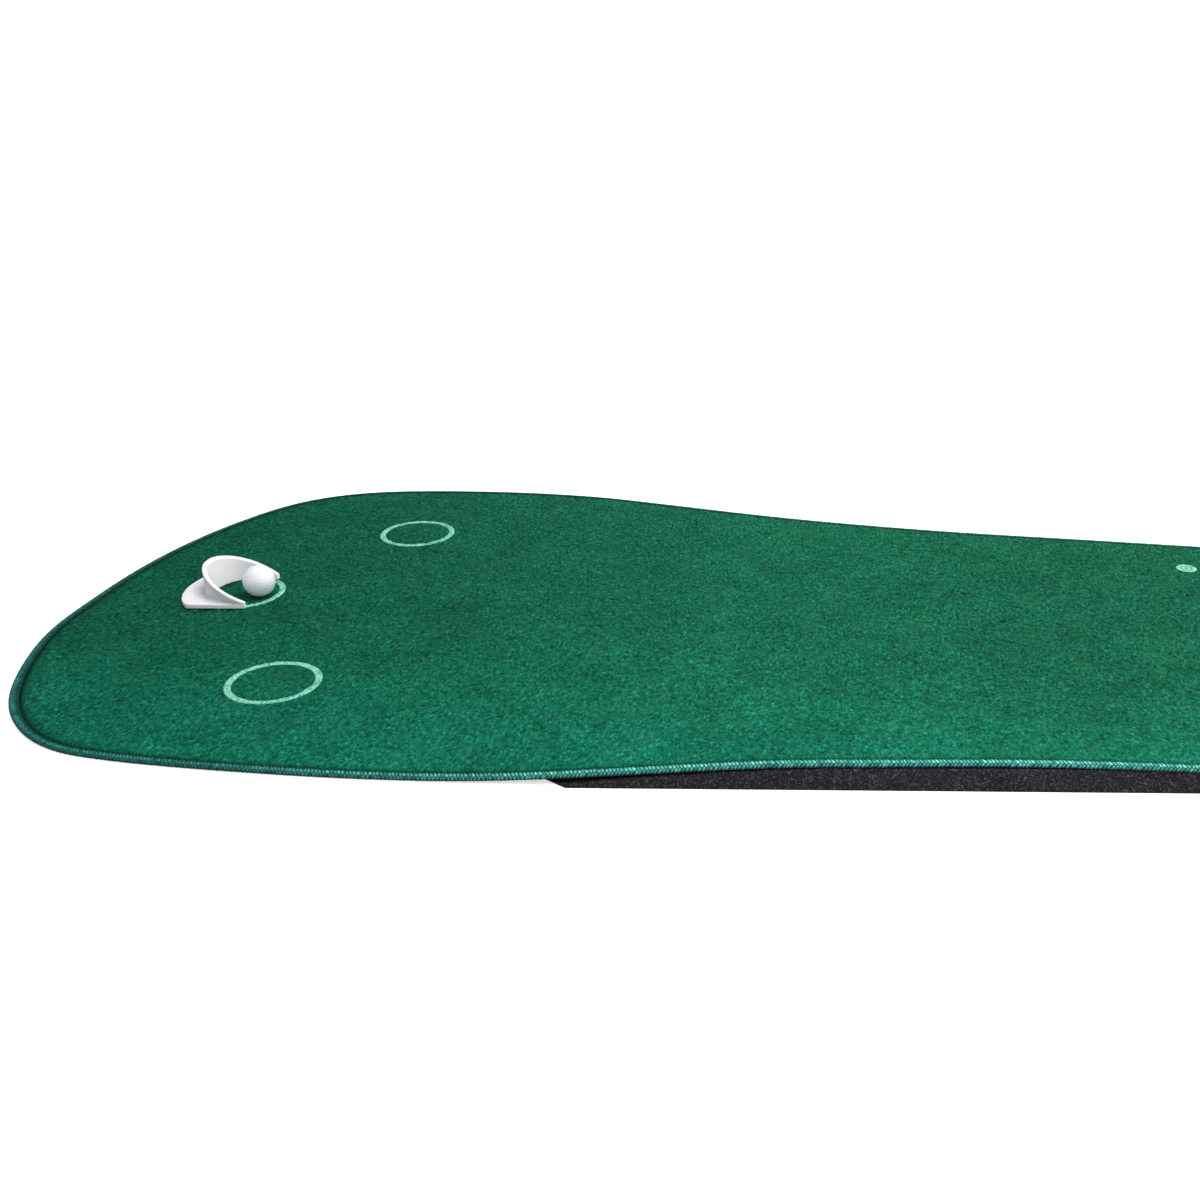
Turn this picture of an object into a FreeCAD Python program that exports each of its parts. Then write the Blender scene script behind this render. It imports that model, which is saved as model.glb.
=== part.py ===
import FreeCAD, Part
import math
import os
import Sketcher
from FreeCAD import Vector, Placement, Rotation

# Practice putting mat: a kidney-waisted strip of artificial turf with a bound
# edge, three printed target circles, three printed start marks, a loose foam
# wedge tucked under the front edge, a loose ball stop standing over the middle
# circle, and a ball.
#
# Frame: millimetres. Origin on the floor under the middle of the mat, +X along
# the length towards the putting end, +Y to the back edge, +Z up.

os.makedirs("parts", exist_ok=True)
doc = FreeCAD.newDocument("putting_mat")

# ---------------------------------------------------------------- dimensions
CELLS = [
    # overall
    ("mat_length", 2743.2), ("mat_width", 914.4),
    # layer heights above the underside of the mat
    ("rubber_top", 3.0), ("primary_base", 3.05), ("primary_top", 3.75),
    ("pile_base", 3.8), ("pile_top", 8.0),
    # binding; the tuck is the part of the layers held inside its fold
    ("binding_top", 7.2), ("binding_width", 8.0), ("binding_skin", 0.8),
    ("binding_fold", 1.2), ("layer_gap", 0.1),
    ("tuck_base", 0.85), ("tuck_top", 6.4), ("tuck_gap", 0.05),
    # stitching: heights, and insets from the mat's edge
    ("thread_base", 7.25), ("thread_top", 7.9), ("thread_outer", 6.0), ("thread_inner", 7.0),
    # printed circles and start marks
    ("ring_outer", 55.5), ("ring_inner", 47.25), ("ink_base", 8.02), ("ink_depth", 0.1),
    ("ring_near_x", -1019.5), ("ring_near_y", -267.0),
    ("ring_far_x", -1019.5), ("ring_far_y", 241.0),
    ("ring_mid_x", -1177.5), ("ring_mid_y", -13.0),
    ("mark_radius", 14.0), ("mark_x", 111.5),
    # height that the ball and the ball stop rest at, just clear of the ink
    ("rest_base", 8.15),
    # ball
    ("ball_radius", 21.335), ("core_radius", 19.75), ("core_gap", 0.05),
    ("ball_x", -1147.7), ("ball_y", -22.0),
    # ball stop: cup centre from the middle circle, the rest from the cup centre;
    # cup_open_deg is half the angle of the mouth
    ("cup_x", 11.5), ("cup_y", -1.8), ("cup_radius", 56.4), ("cup_wall", 6.0),
    ("cup_open_deg", 71.0), ("cup_back", 45.0), ("cup_tip", 7.5),
    ("plate_depth", 7.0), ("plate_back", 85.5), ("plate_side", 63.9), ("plate_side_x", 60.0),
    ("plate_tip_x", 10.0), ("plate_tip_y", 56.0), ("plate_corner", 8.0),
    ("plate_turn_x", 71.0), ("plate_turn_y", 51.5),
    # foam wedge: left front corner, turn and size
    ("foam_x", -631.0), ("foam_y", -443.0), ("foam_turn_deg", 6.37),
    ("foam_long", 914.0), ("foam_high", 25.4), ("foam_deep", 203.0),
    ("foam_back", 0.8), ("foam_back_min", 0.4),
    # its stations: place along the front face, set-back from it, height there
    ("foam_nose_at", -25.0), ("foam_nose_set", 19.0), ("foam_nose_high", 2.0),
    ("foam_face_set", 0.0),
    ("foam_a_at", 0.0), ("foam_a_high", 3.8),
    ("foam_b_at", 40.0), ("foam_b_high", 8.7),
    ("foam_c_at", 85.0), ("foam_c_high", 13.6),
    ("foam_d_at", 140.0), ("foam_d_high", 18.7),
    ("foam_e_at", 200.0), ("foam_e_high", 22.8),
    ("foam_f_at", 262.0), ("foam_f_high", 25.2),
    ("foam_g_at", 330.0),
    # drape of the mat over the wedge: height, run of the end ramps outside and
    # inside the wedge, share of the height at the front face, scale of the drop
    # ahead of that face, and softening where the drape meets the floor
    ("lift_high", 25.8), ("lift_start", 170.0), ("lift_full", 270.0),
    ("lift_front", 1.015), ("lift_apron", 90.0), ("lift_soft", 0.3),
    # rectangle that the drape covers; its front lies clear of the mat
    ("patch_left", -850.0), ("patch_right", 510.0),
    ("patch_front", -500.0), ("patch_back", -56.0),
]

# Edge of the mat as (x, y), anticlockwise from the left tip's front side.
EDGE = [
    (-1371.5, -62), (-1370.5, -131), (-1363, -185), (-1350, -233), (-1329, -291),
    (-1295.5, -354), (-1257.5, -398), (-1221.5, -425), (-1180, -443), (-1130, -451.5),
    (-1061.5, -456), (-964, -457.5), (-868.5, -456), (-777.5, -450.5), (-687, -444.5),
    (-600, -438), (-500, -429.5), (-397, -418), (-300, -405.5), (-191, -391),
    (-100, -383), (0, -379.5), (100, -379), (210, -382.5), (330, -391),
    (460, -403), (600, -418), (740, -433), (880, -446), (1000, -453),
    (1090, -451), (1165, -436), (1228, -406), (1281, -358), (1322, -294),
    (1350, -214), (1366, -120), (1371.5, -18), (1367, 84), (1351, 182),
    (1322, 270), (1280, 346), (1222, 403), (1150, 437), (1066, 453),
    (975, 457), (880, 452), (780, 439), (680, 421), (580, 400.5),
    (480, 379), (380, 359.5), (280, 344.5), (180, 338.5), (73.5, 342.5),
    (-58.5, 349), (-191.5, 355.5), (-327.5, 368), (-468.5, 388), (-616.5, 418),
    (-692.5, 434.5), (-769.5, 449.5), (-846.5, 456.5), (-923.5, 457.5), (-997.5, 453.5),
    (-1074.5, 445), (-1148.5, 429), (-1215.5, 398), (-1268.5, 349), (-1308.5, 277),
    (-1340.5, 190), (-1361.5, 94), (-1370, 10),
]
for i, (x, y) in enumerate(EDGE, 1):
    CELLS.append(("edge_%02d_x" % i, x))
    CELLS.append(("edge_%02d_y" % i, y))

SPAN_SAMPLES = 4000   # points that measure the raw edge's length and width
INSET_SAMPLES = 180   # points on an edge curve that is moved in
DRAPE_COLUMNS = 61    # drape grid along X
DRAPE_ROWS = 22       # drape grid along Y
OVERCUT = 1.0         # how far a cutting shape passes the faces it cuts
DRAPE_HEADROOM = 45   # trimming prism's reach above a lifted layer

sheet = doc.addObject("Spreadsheet::Sheet", "dims")
for row, (alias, number) in enumerate(CELLS, 1):
    sheet.set("A%d" % row, alias)
    sheet.set("B%d" % row, repr(float(number)))
    sheet.setAlias("B%d" % row, alias)
doc.recompute()

pieces = {}


def dim(alias):
    return float(sheet.get(alias))


def add_piece(obj, name):
    """Label an object and list it for export."""
    obj.Label = name
    pieces[name] = obj


def add_feature(name, shape):
    obj = doc.addObject("Part::Feature", name)
    obj.Shape = shape
    obj.Placement = Placement(Vector(0, 0, 0), Rotation())
    add_piece(obj, name)


def place(obj, *expressions):
    """Bind an object's x, y and, if given, z."""
    for axis, expression in zip("xyz", expressions):
        obj.setExpression("Placement.Base." + axis, expression)


def one_solid(shape):
    solids = shape.Solids
    if len(solids) != 1:
        raise ValueError("expected one solid, got %d" % len(solids))
    return solids[0]


# ---------------------------------------------------------------- mat outline
def closed_curve(points):
    curve = Part.BSplineCurve()
    curve.interpolate(Points=points, PeriodicFlag=True)
    return curve


def parameters(curve, count):
    """Evenly spaced parameters once round a closed curve."""
    first, last = curve.FirstParameter, curve.LastParameter
    return [first + (last - first) * k / count for k in range(count)]


def mat_outline():
    """The edge table centred and stretched to the mat's length and width."""
    points = [Vector(dim("edge_%02d_x" % i), dim("edge_%02d_y" % i), 0)
              for i in range(1, len(EDGE) + 1)]
    curve = closed_curve(points)
    samples = [curve.value(u) for u in parameters(curve, SPAN_SAMPLES)]
    low_x, high_x = min(p.x for p in samples), max(p.x for p in samples)
    low_y, high_y = min(p.y for p in samples), max(p.y for p in samples)
    fit_x = dim("mat_length") / (high_x - low_x)
    fit_y = dim("mat_width") / (high_y - low_y)
    return closed_curve([Vector((p.x - (low_x + high_x) / 2) * fit_x,
                                (p.y - (low_y + high_y) / 2) * fit_y, 0) for p in points])


outline = mat_outline()


def edge_curve(inset):
    """The mat's edge, moved in by inset."""
    if inset == 0:
        return outline
    points = []
    for u in parameters(outline, INSET_SAMPLES):
        tangent = outline.tangent(u)[0]
        inward = Vector(-tangent.y, tangent.x, 0)
        inward.normalize()
        points.append(outline.value(u) + inward * inset)
    return closed_curve(points)


def edge_prism(inset, base, top):
    face = Part.Face(Part.Wire([edge_curve(inset).toShape()]))
    face.translate(Vector(0, 0, base))
    return face.extrude(Vector(0, 0, top - base))


# ---------------------------------------------------------------- drape
foam_turn = math.radians(dim("foam_turn_deg"))
foam_along = Vector(math.cos(foam_turn), math.sin(foam_turn), 0)
foam_inward = Vector(-math.sin(foam_turn), math.cos(foam_turn), 0)
foam_corner = Vector(dim("foam_x"), dim("foam_y"), 0)
foam_long = dim("foam_long")
foam_deep = dim("foam_deep")
patch_left, patch_right = dim("patch_left"), dim("patch_right")
patch_front, patch_back = dim("patch_front"), dim("patch_back")


def smooth(x):
    """Ease from 0 to 1."""
    x = max(0.0, min(1.0, x))
    return x * x * (3 - 2 * x)


def lift(x, y):
    """Height of the mat's underside over the floor at x, y."""
    offset = Vector(x, y, 0) - foam_corner
    along, deep = offset.dot(foam_along), offset.dot(foam_inward)
    start, soft = dim("lift_start"), dim("lift_soft")
    ramp = start + dim("lift_full")
    left = smooth((along + start) / ramp)
    right = smooth((foam_long - along + start) / ramp)
    fall = dim("lift_front") - deep / foam_deep
    if deep < 0:
        fall -= (deep / dim("lift_apron")) ** 2
    if fall < -soft:
        fall = 0.0
    elif fall < soft:
        fall = (fall + soft) ** 2 / (4 * soft)
    return max(0.0, dim("lift_high") * left * right * fall)


def drape_surface():
    """The mat's underside over the patch, level along its left, right and back."""
    grid = []
    for i in range(DRAPE_COLUMNS):
        x = patch_left + (patch_right - patch_left) * i / (DRAPE_COLUMNS - 1)
        column = []
        for j in range(DRAPE_ROWS):
            y = patch_front + (patch_back - patch_front) * j / (DRAPE_ROWS - 1)
            level = i < 2 or i > DRAPE_COLUMNS - 3 or j > DRAPE_ROWS - 3
            column.append(Vector(x, y, 0.0 if level else lift(x, y)))
        grid.append(column)
    surface = Part.BSplineSurface()
    surface.interpolate(grid)
    return surface.toShape()


drape_face = drape_surface()


def drape_block(base, top):
    """A block of one layer over the wedge, between two copies of the drape."""
    face = drape_face.copy()
    face.translate(Vector(0, 0, base))
    return face.extrude(Vector(0, 0, top - base))


def layer(inset, base, top):
    """One layer of the mat: flat, and lifted over the wedge."""
    window = Part.makeBox(patch_right - patch_left, patch_back - patch_front,
                          top - base + 2 * OVERCUT,
                          Vector(patch_left, patch_front, base - OVERCUT))
    flat = edge_prism(inset, base, top).cut(window)
    trim = edge_prism(inset, base - OVERCUT, top + DRAPE_HEADROOM)
    return flat.fuse(drape_block(base, top).common(trim))


# ---------------------------------------------------------------- mat layers
field_inset = dim("binding_width") + dim("layer_gap")
tuck_inset = dim("binding_fold") + dim("layer_gap")


def build_foam_backing():
    """Latex foam underlay, thinned from below under the binding."""
    field = layer(field_inset, 0.0, dim("rubber_top"))
    tuck = layer(tuck_inset, dim("tuck_base"), dim("rubber_top"))
    add_feature("foam_backing", one_solid(field.fuse(tuck)))


def build_primary_backing():
    """Woven cloth that the tufts are stitched through."""
    cloth = layer(tuck_inset, dim("primary_base"), dim("primary_top"))
    add_feature("primary_backing", one_solid(cloth))


def build_turf_pile():
    """Turf pile, pressed down under the binding."""
    field = layer(field_inset, dim("pile_base"), dim("pile_top"))
    tuck = layer(tuck_inset, dim("pile_base"), dim("tuck_top"))
    add_feature("turf_pile", one_solid(field.fuse(tuck)))


def build_edge_binding():
    """Tape folded round the edge: a C section that holds the three layers."""
    outer = layer(0.0, 0.0, dim("binding_top"))
    inner = layer(dim("binding_width"), -OVERCUT, dim("binding_top") + OVERCUT)
    tuck = layer(dim("binding_fold"), dim("binding_skin"), dim("tuck_top") + dim("tuck_gap"))
    add_feature("edge_binding", one_solid(outer.cut(inner).cut(tuck)))


def build_binding_stitching():
    """Thread along the inner side of the binding."""
    base, top = dim("thread_base"), dim("thread_top")
    outer = layer(dim("thread_outer"), base, top)
    inner = layer(dim("thread_inner"), base - OVERCUT, top + OVERCUT)
    add_feature("binding_stitching", one_solid(outer.cut(inner)))


# ---------------------------------------------------------------- printing
def build_target_ring(name, place_alias):
    outer = doc.addObject("Part::Cylinder", name + "_outer")
    inner = doc.addObject("Part::Cylinder", name + "_inner")
    for disc, radius in ((outer, "dims.ring_outer"), (inner, "dims.ring_inner")):
        disc.setExpression("Radius", radius)
        disc.setExpression("Height", "dims.ink_depth")
    ring = doc.addObject("Part::Cut", name)
    ring.Base = outer
    ring.Tool = inner
    place(ring, "dims.%s_x" % place_alias, "dims.%s_y" % place_alias, "dims.ink_base")
    add_piece(ring, name)


def build_start_marks():
    """Three discs in line with the circles. The front one lies on the drape."""
    radius, mark_x = dim("mark_radius"), dim("mark_x")
    base, depth = dim("ink_base"), dim("ink_depth")
    post_height = 80
    marks = [Part.makeCylinder(radius, depth, Vector(mark_x, dim(alias), base))
             for alias in ("ring_far_y", "ring_mid_y")]
    post = Part.makeCylinder(radius, post_height, Vector(mark_x, dim("ring_near_y"), 0))
    marks.append(one_solid(drape_block(base, base + depth).common(post)))
    add_feature("start_marks", Part.makeCompound(marks))


# ---------------------------------------------------------------- ball
def sphere(name, radius):
    ball = doc.addObject("Part::Sphere", name)
    ball.setExpression("Radius", radius)
    return ball


def build_ball():
    """A hollow cover round a solid core."""
    cover_outer = sphere("ball_cover_outer", "dims.ball_radius")
    cover_inner = sphere("ball_cover_inner", "dims.core_radius + dims.core_gap")
    cover = doc.addObject("Part::Cut", "ball_cover")
    cover.Base = cover_outer
    cover.Tool = cover_inner
    core = sphere("ball_core", "dims.core_radius")
    for obj, name in ((cover, "ball_cover"), (core, "ball_core")):
        place(obj, "dims.ball_x", "dims.ball_y", "dims.rest_base + dims.ball_radius")
        add_piece(obj, name)


# ---------------------------------------------------------------- sketch helpers
def origin_plane(body, role):
    for item in body.Origin.OriginFeatures:
        if item.Role == role:
            return item
    raise ValueError(role)


def new_sketch(body, name, role, offset=None):
    sketch = body.newObject("Sketcher::SketchObject", name)
    sketch.AttachmentSupport = [(origin_plane(body, role), "")]
    sketch.MapMode = "FlatFace"
    if offset is not None:
        sketch.AttachmentOffset = offset
    return sketch


def add_polygon(sketch, points):
    following = points[1:] + points[:1]
    sketch.addGeometry([Part.LineSegment(p, q) for p, q in zip(points, following)], False)


def bind_constraint(sketch, constraint, name, expression):
    index = sketch.addConstraint(constraint)
    sketch.renameConstraint(index, name)
    sketch.setExpression("Constraints." + name, expression)


def bind_start(sketch, axis, line, name, expression):
    """Bind the x or y of a line's start point."""
    value = getattr(sketch.getPoint(line, 1), axis)
    constraint = Sketcher.Constraint("Distance" + axis.upper(), -1, 1, line, 1, value)
    bind_constraint(sketch, constraint, name, expression)


def circle_sketch(body, name, radius, constraint_name, expression):
    sketch = new_sketch(body, name, "XY_Plane")
    sketch.addGeometry(Part.Circle(Vector(0, 0, 0), Vector(0, 0, 1), radius), False)
    bind_constraint(sketch, Sketcher.Constraint("Radius", 0, radius),
                    constraint_name, expression)
    return sketch


def pad(body, name, profile, length):
    feature = body.newObject("PartDesign::Pad", name)
    feature.Profile = profile
    feature.setExpression("Length", length)


def cut_through(body, name, profile, midplane=False):
    """Pocket through all: to both sides of the sketch, or reversed."""
    pocket = body.newObject("PartDesign::Pocket", name)
    pocket.Profile = profile
    pocket.Type = 1
    if midplane:
        pocket.Midplane = True
    else:
        pocket.Reversed = True
    return pocket


def unit(vector):
    result = Vector(vector)
    result.normalize()
    return result


def mirror(point):
    """The same point on the other side of the X axis."""
    return Vector(point.x, -point.y, 0)


# ---------------------------------------------------------------- ball stop
def plate_sketch(stop):
    """Tail plate: a straight flank each side, cut corners and a bowed back."""
    tip = Vector(dim("plate_tip_x"), dim("plate_tip_y"), 0)
    corner = Vector(-dim("plate_side_x"), dim("plate_side"), 0)
    turn = Vector(-dim("plate_turn_x"), dim("plate_turn_y"), 0)
    mid_back = Vector(-dim("plate_back"), 0, 0)
    rounding = dim("plate_corner")

    # arc that rounds the corner between the flank and the cut
    to_tip = unit(tip - corner)
    to_turn = unit(turn - corner)
    trim = rounding / math.tan(to_tip.getAngle(to_turn) / 2)
    on_flank = corner + to_tip * trim
    on_cut = corner + to_turn * trim
    centre = on_flank + Vector(to_tip.y, -to_tip.x, 0) * rounding
    halfway = centre + unit(corner - centre) * rounding

    sketch = new_sketch(stop, "plate_outline", "XY_Plane")
    sketch.addGeometry([
        Part.LineSegment(tip, on_flank),
        Part.Arc(on_flank, halfway, on_cut),
        Part.LineSegment(on_cut, turn),
        Part.Arc(turn, mid_back, mirror(turn)),
        Part.LineSegment(mirror(turn), mirror(on_cut)),
        Part.Arc(mirror(on_cut), mirror(halfway), mirror(on_flank)),
        Part.LineSegment(mirror(on_flank), mirror(tip)),
        Part.LineSegment(mirror(tip), tip),
    ], False)
    bind_start(sketch, "x", 0, "tip_x", "dims.plate_tip_x")
    bind_start(sketch, "y", 0, "tip_y", "dims.plate_tip_y")
    return sketch


def mouth_sketch(stop, half_open):
    """Everything ahead of the two tips, square to the wall."""
    reach = dim("cup_radius") + 60
    flare = Vector(reach * math.cos(half_open), reach * math.sin(half_open), 0)
    ahead = Vector(reach + 40, flare.y, 0)
    sketch = new_sketch(stop, "mouth_outline", "XY_Plane")
    add_polygon(sketch, [Vector(0, 0, 0), flare, ahead, mirror(ahead), mirror(flare)])
    return sketch


def rim_sketch(stop, half_open):
    """Everything above a line from the back of the wall down to the tips."""
    radius, back_high = dim("cup_radius"), dim("cup_back")
    slope = (back_high - dim("cup_tip")) / (radius + radius * math.cos(half_open))
    front_x = radius + 5
    clear_z = back_high + 20
    sketch = new_sketch(stop, "rim_outline", "XZ_Plane")
    add_polygon(sketch, [
        Vector(-radius, back_high, 0),
        Vector(front_x, back_high - slope * (radius + front_x), 0),
        Vector(front_x, clear_z, 0),
        Vector(-radius, clear_z, 0),
    ])
    bind_start(sketch, "x", 0, "rim_back_x", "-dims.cup_radius")
    bind_start(sketch, "y", 0, "rim_back_z", "dims.cup_back")
    return sketch


def build_ball_stop():
    """A floorless C wall, open towards +X, on a flat tail plate."""
    stop = doc.addObject("PartDesign::Body", "ball_stop")
    place(stop, "dims.ring_mid_x + dims.cup_x", "dims.ring_mid_y + dims.cup_y",
          "dims.rest_base")
    radius = dim("cup_radius")
    half_open = math.radians(dim("cup_open_deg"))

    pad(stop, "plate_pad", plate_sketch(stop), "dims.plate_depth")
    # the cup starts as a full round and is cut open later
    blank = circle_sketch(stop, "cup_outline", radius, "cup_radius", "dims.cup_radius")
    pad(stop, "cup_pad", blank, "dims.cup_back")
    bore = circle_sketch(stop, "cup_bore_outline", radius - dim("cup_wall"),
                         "bore_radius", "dims.cup_radius - dims.cup_wall")
    cut_through(stop, "cup_bore", bore)
    cut_through(stop, "mouth_cut", mouth_sketch(stop, half_open))
    rim_cut = cut_through(stop, "rim_cut", rim_sketch(stop, half_open), midplane=True)
    doc.recompute()
    stop.Tip = rim_cut
    add_piece(stop, "ball_stop")


# ---------------------------------------------------------------- foam wedge
def foam_stations():
    """(place expression, place, set-back alias, height alias), left to right."""
    left_end = [("foam_nose_at", "foam_nose_set", "foam_nose_high")]
    for letter in "abcdef":
        left_end.append(("foam_%s_at" % letter, "foam_face_set", "foam_%s_high" % letter))
    left_end.append(("foam_g_at", "foam_face_set", "foam_high"))
    stations = [("dims." + at, dim(at), setback, high) for at, setback, high in left_end]
    # the right end mirrors the left
    for at, setback, high in reversed(left_end):
        stations.append(("dims.foam_long - dims." + at, foam_long - dim(at), setback, high))
    return stations


def foam_section(foam, number, station):
    """A section square to the front face: high in front, thin at the back."""
    at_expression, at, set_alias, high_alias = station
    setback, height = dim(set_alias), dim(high_alias)
    full_high, thin = dim("foam_high"), dim("foam_back")
    front_high = height * (1 - setback / foam_deep)
    # the back edge is thinner still where the section is low
    back_high = max(dim("foam_back_min"), thin * height / full_high)
    depth = foam_deep * (1 - thin / full_high)

    sketch = new_sketch(foam, "foam_section_%02d" % number, "YZ_Plane",
                        Placement(Vector(0, 0, at), Rotation()))
    sketch.setExpression(".AttachmentOffset.Base.z", at_expression)
    add_polygon(sketch, [Vector(setback, 0, 0), Vector(depth, 0, 0),
                         Vector(depth, back_high, 0), Vector(setback, front_high, 0)])
    for i in range(4):
        sketch.addConstraint(Sketcher.Constraint("Coincident", i, 2, (i + 1) % 4, 1))
    bind_start(sketch, "y", 3, "front_high",
               "dims.%s * (1 - dims.%s / dims.foam_deep)" % (high_alias, set_alias))
    bind_start(sketch, "x", 1, "depth",
               "dims.foam_deep * (1 - dims.foam_back / dims.foam_high)")
    return sketch


def build_foam_wedge():
    """Sections joined by flat ramps, ramped down at both ends."""
    foam = doc.addObject("PartDesign::Body", "foam_wedge")
    foam.Placement = Placement(foam_corner, Rotation(Vector(0, 0, 1), dim("foam_turn_deg")))
    place(foam, "dims.foam_x", "dims.foam_y")
    profiles = [foam_section(foam, number, station)
                for number, station in enumerate(foam_stations())]
    loft = foam.newObject("PartDesign::AdditiveLoft", "foam_loft")
    loft.Profile = profiles[0]
    loft.Sections = profiles[1:]
    loft.Ruled = True
    foam.Tip = loft
    add_piece(foam, "foam_wedge")


# ---------------------------------------------------------------- build and export
build_foam_backing()
build_primary_backing()
build_turf_pile()
build_edge_binding()
build_binding_stitching()
build_target_ring("target_ring_near", "ring_near")
build_target_ring("target_ring_middle", "ring_mid")
build_target_ring("target_ring_far", "ring_far")
build_start_marks()
build_ball()
build_ball_stop()
build_foam_wedge()
doc.recompute()

for obj in doc.Objects:
    if "Invalid" in obj.State or "Error" in obj.State:
        raise ValueError("%s failed: %s" % (obj.Name, obj.State))
for name, obj in pieces.items():
    shape = obj.Shape
    if shape.isNull() or not shape.isValid() or not shape.Solids or shape.Volume <= 0:
        raise ValueError("%s has no valid solid" % name)

for name, obj in pieces.items():
    obj.Shape.exportStep(os.path.join("parts", name + ".step"))
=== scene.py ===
import math

import bmesh
import bpy
import numpy as np
from mathutils import Matrix, Vector
from mathutils.geometry import delaunay_2d_cdt
from mathutils.kdtree import KDTree


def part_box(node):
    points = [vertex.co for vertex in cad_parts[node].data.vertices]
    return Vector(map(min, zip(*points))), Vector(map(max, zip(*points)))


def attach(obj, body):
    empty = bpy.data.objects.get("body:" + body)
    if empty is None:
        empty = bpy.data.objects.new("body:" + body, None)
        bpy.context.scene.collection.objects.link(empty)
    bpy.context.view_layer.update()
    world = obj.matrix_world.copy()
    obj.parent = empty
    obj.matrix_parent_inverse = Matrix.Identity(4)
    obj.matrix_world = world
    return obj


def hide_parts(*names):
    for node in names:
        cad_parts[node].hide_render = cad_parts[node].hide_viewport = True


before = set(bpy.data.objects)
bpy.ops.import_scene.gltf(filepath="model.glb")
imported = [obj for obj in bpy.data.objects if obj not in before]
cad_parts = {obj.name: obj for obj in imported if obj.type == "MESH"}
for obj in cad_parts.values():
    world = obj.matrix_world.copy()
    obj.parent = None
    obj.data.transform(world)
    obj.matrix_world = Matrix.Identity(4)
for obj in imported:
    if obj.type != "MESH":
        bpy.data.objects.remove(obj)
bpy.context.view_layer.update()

# Looks for the putting mat: turf pile, overlocked binding, printed circles,
# moulded ball stop, dimpled ball and foam wedge. Lengths below are millimetres
# until a mesh is made, which is in metres.

MM = 0.001


# ------------------------------------------------------------------ helpers
def box_mm(node):
    lo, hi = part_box(node)
    return np.array(lo) / MM, np.array(hi) / MM


def make_mesh(name, verts, faces, smooth=True):
    mesh = bpy.data.meshes.new(name)
    mesh.from_pydata((np.asarray(verts, float) * MM).tolist(), [], [list(map(int, f)) for f in faces])
    mesh.update()
    if smooth:
        mesh.polygons.foreach_set("use_smooth", [True] * len(mesh.polygons))
    obj = bpy.data.objects.new(name, mesh)
    bpy.context.scene.collection.objects.link(obj)
    return obj


def store(obj, name, values):
    layer = obj.data.attributes.new(name, "FLOAT", "POINT")
    layer.data.foreach_set("value", np.asarray(values, np.float32))


def smooth01(x):
    x = np.clip(x, 0.0, 1.0)
    return x * x * (3 - 2 * x)


def lattice_noise(x, y, size, seed):
    """Smooth noise between -1 and 1 with features about size mm across."""
    gen = np.random.default_rng(seed)
    cols, rows = int(3400 / size) + 6, int(1400 / size) + 6
    table = gen.uniform(-1, 1, (cols, rows))
    u = (np.asarray(x) + 1700) / size + 2
    v = (np.asarray(y) + 700) / size + 2
    i, j = np.floor(u).astype(int), np.floor(v).astype(int)
    fu, fv = smooth01(u - i), smooth01(v - j)
    i, j = np.clip(i, 0, cols - 2), np.clip(j, 0, rows - 2)
    low = table[i, j] * (1 - fu) + table[i + 1, j] * fu
    high = table[i, j + 1] * (1 - fu) + table[i + 1, j + 1] * fu
    return low * (1 - fv) + high * fv


# ------------------------------------------------------------------ the mat's edge and drape
EDGE = np.array([
    (-1371.5, -62), (-1370.5, -131), (-1363, -185), (-1350, -233), (-1329, -291), (-1295.5, -354),
    (-1257.5, -398), (-1221.5, -425), (-1180, -443), (-1130, -451.5), (-1061.5, -456), (-964, -457.5),
    (-868.5, -456), (-777.5, -450.5), (-687, -444.5), (-600, -438), (-500, -429.5), (-397, -418),
    (-300, -405.5), (-191, -391), (-100, -383), (0, -379.5), (100, -379), (210, -382.5),
    (330, -391), (460, -403), (600, -418), (740, -433), (880, -446), (1000, -453),
    (1090, -451), (1165, -436), (1228, -406), (1281, -358), (1322, -294), (1350, -214),
    (1366, -120), (1371.5, -18), (1367, 84), (1351, 182), (1322, 270), (1280, 346),
    (1222, 403), (1150, 437), (1066, 453), (975, 457), (880, 452), (780, 439),
    (680, 421), (580, 400.5), (480, 379), (380, 359.5), (280, 344.5), (180, 338.5),
    (73.5, 342.5), (-58.5, 349), (-191.5, 355.5), (-327.5, 368), (-468.5, 388), (-616.5, 418),
    (-692.5, 434.5), (-769.5, 449.5), (-846.5, 456.5), (-923.5, 457.5), (-997.5, 453.5), (-1074.5, 445),
    (-1148.5, 429), (-1215.5, 398), (-1268.5, 349), (-1308.5, 277), (-1340.5, 190), (-1361.5, 94),
    (-1370, 10)], float)


def closed_spline(points, samples):
    """A closed cubic spline through points, sampled densely in order."""
    n = len(points)
    step = np.linalg.norm(np.roll(points, -1, 0) - points, axis=1)
    system = np.zeros((n, n))
    right = np.zeros((n, 2))
    for i in range(n):
        before, after = step[i - 1], step[i]
        system[i, i - 1] += before
        system[i, i] += 2 * (before + after)
        system[i, (i + 1) % n] += after
        right[i] = 6 * ((points[(i + 1) % n] - points[i]) / after - (points[i] - points[i - 1]) / before)
    second = np.linalg.solve(system, right)
    knots = np.r_[0, np.cumsum(step)]
    at = np.linspace(0, knots[-1], samples, endpoint=False)
    k = np.clip(np.searchsorted(knots, at, side="right") - 1, 0, n - 1)
    length = step[k][:, None]
    b = ((at - knots[k]) / step[k])[:, None]
    a = 1 - b
    nxt = (k + 1) % n
    return (a * points[k] + b * points[nxt]
            + ((a ** 3 - a) * second[k] + (b ** 3 - b) * second[nxt]) * length ** 2 / 6)


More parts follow.
